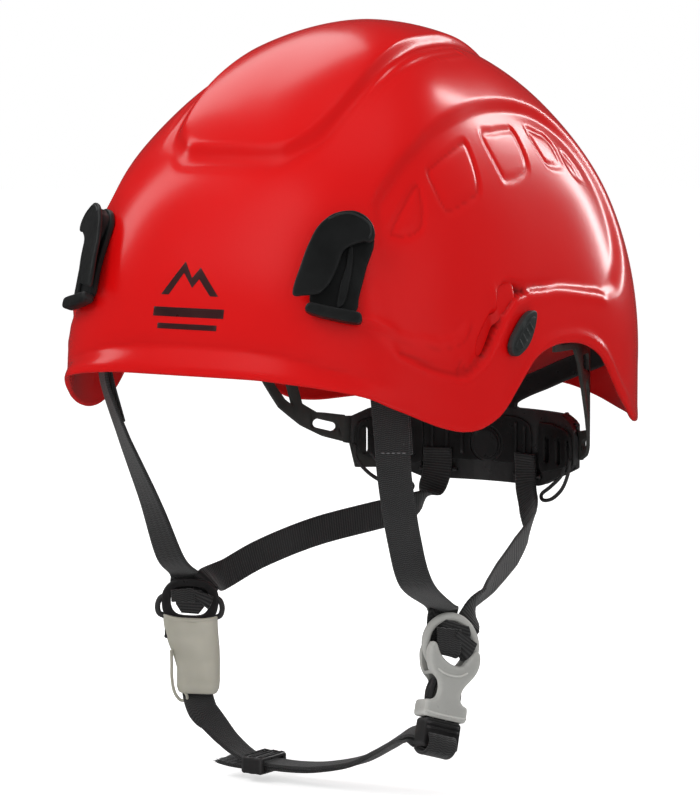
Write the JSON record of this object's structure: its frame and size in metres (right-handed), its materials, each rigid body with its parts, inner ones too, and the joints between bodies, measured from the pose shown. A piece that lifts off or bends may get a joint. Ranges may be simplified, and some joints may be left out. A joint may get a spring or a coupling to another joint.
{
  "type": "climbing helmet",
  "caption": "Hard-shell climbing helmet with headlamp clips, webbing suspension, swinging nape yoke with a ratchet knob, and a chin strap with side-release buckle.",
  "frame": {"origin": "on the mid-plane, at the centre of the shell's plan, 8 mm below the front edge of the brim", "axes": "front of the helmet is -Y, the wearer's left is +X, the crown is +Z"},
  "size_m": [0.2266, 0.2868, 0.3538],
  "materials": {
    "shell_red": "smooth injection-moulded ABS, semi-gloss",
    "foam_dark": "moulded EPS foam, fine bead",
    "clip_black": "moulded nylon, fine texture",
    "plug_dark": "moulded, satin",
    "webbing_black": "woven polyester webbing",
    "pad_black": "brushed knit over foam",
    "plastic_black": "moulded, fine texture",
    "plastic_graphite": "moulded, fine texture",
    "plastic_grey": "moulded, satin",
    "sleeve_clear": "soft translucent moulding",
    "spring_steel": "bright spring steel",
    "screw_steel": "zinc-plated"
  },
  "bodies": {
    "helmet": {"brow_pad": "pad_black", "buckle_body": "plastic_grey", "cradle_strap_left": "webbing_black", "cradle_strap_long": "webbing_black", "cradle_strap_right": "webbing_black", "crown_liner": "foam_dark", "crown_pad": "pad_black", "front_strap_left": "webbing_black", "front_strap_right": "webbing_black", "headband": "plastic_black", "headlamp_clip_front_left": "clip_black", "headlamp_clip_front_right": "clip_black", "headlamp_clip_rear_left": "clip_black", "headlamp_clip_rear_right": "clip_black", "outer_shell": "shell_red", "rear_strap_left": "webbing_black", "rear_strap_right": "webbing_black", "sleeve_strap": "webbing_black", "strap_anchor_left": "plastic_black", "strap_anchor_right": "plastic_black", "strap_divider": "plastic_black", "strap_loops_left": "webbing_black", "strap_loops_right": "webbing_black", "strap_ring": "plastic_grey", "strap_sleeve": "sleeve_clear", "suspension_keys": "plastic_black", "tilt_stud_left": "plastic_black", "tilt_stud_right": "plastic_black"},
    "nape": {"nape_yoke": "plastic_black", "yoke_cover": "plastic_black", "cover_screws": "screw_steel", "click_spring": "spring_steel", "rear_hanger_left": "plastic_black", "rear_hanger_right": "plastic_black", "rear_strap_tab_left": "webbing_black", "rear_strap_tab_right": "webbing_black"},
    "knob": {"adjuster_pinion": "plastic_black", "adjuster_knob": "plastic_black", "knob_screw": "screw_steel"},
    "arm_left": {"arm_left": "plastic_graphite"},
    "arm_right": {"arm_right": "plastic_graphite"},
    "chin": {"chin_strap": "webbing_black", "buckle_tongue": "plastic_black"},
    "prong_front": {"tongue_prong_front": "plastic_black"},
    "prong_rear": {"tongue_prong_rear": "plastic_black"},
    "slider": {"chin_slider": "plastic_black"},
    "plug_left": {"visor_plug_left": "plug_dark"},
    "plug_right": {"visor_plug_right": "plug_dark"}
  },
  "joints": [
    {"name": "nape_tilt", "type": "hinge", "parent": "helmet", "child": "nape", "pos_m": [0, 0.045, 0.018], "axis": [1, 0, 0], "range_deg": [-6, 5]},
    {"name": "knob_turn", "type": "hinge", "parent": "nape", "child": "knob", "pos_m": [0, 0.127, -0.045], "axis": [0, 1, 0], "range_deg": [-137, 137]},
    {"name": "arm_left_slide", "type": "hinge", "parent": "nape", "child": "arm_left", "pos_m": [0, 0.027, -0.02], "axis": [0, 0, 1], "range_deg": [-10, 10]},
    {"name": "arm_right_slide", "type": "hinge", "parent": "nape", "child": "arm_right", "pos_m": [0, 0.027, -0.02], "axis": [0, 0, 1], "range_deg": [-10, 10]},
    {"name": "chin_strap_swing", "type": "hinge", "parent": "helmet", "child": "chin", "pos_m": [-0.068, -0.04, -0.155], "axis": [0.0349, 0.9408, -0.3371], "range_deg": [0, 60]},
    {"name": "prong_front_press", "type": "hinge", "parent": "chin", "child": "prong_front", "pos_m": [0.07218, -0.04888, -0.15037], "axis": [-0.8779, 0.436, -0.1982], "range_deg": [0, 6], "stiffness_Nm_per_rad": 0.005},
    {"name": "prong_rear_press", "type": "hinge", "parent": "chin", "child": "prong_rear", "pos_m": [0.07752, -0.03954, -0.15348], "axis": [0.8779, -0.436, 0.1982], "range_deg": [0, 6], "stiffness_Nm_per_rad": 0.005},
    {"name": "chin_slider_slide", "type": "slide", "parent": "chin", "child": "slider", "axis": [0.9994, 0.0325, -0.0093], "range_m": [0, 0.01]},
    {"name": "visor_plug_left_pull", "type": "slide", "parent": "helmet", "child": "plug_left", "axis": [1, 0, 0], "range_m": [0, 0.012]},
    {"name": "visor_plug_right_pull", "type": "slide", "parent": "helmet", "child": "plug_right", "axis": [-1, 0, 0], "range_m": [0, 0.012]}
  ],
  "couplings": [
    {"joint": "arm_left_slide", "follows": "knob_turn", "ratio": -0.072917},
    {"joint": "arm_right_slide", "follows": "knob_turn", "ratio": 0.072917}
  ]
}
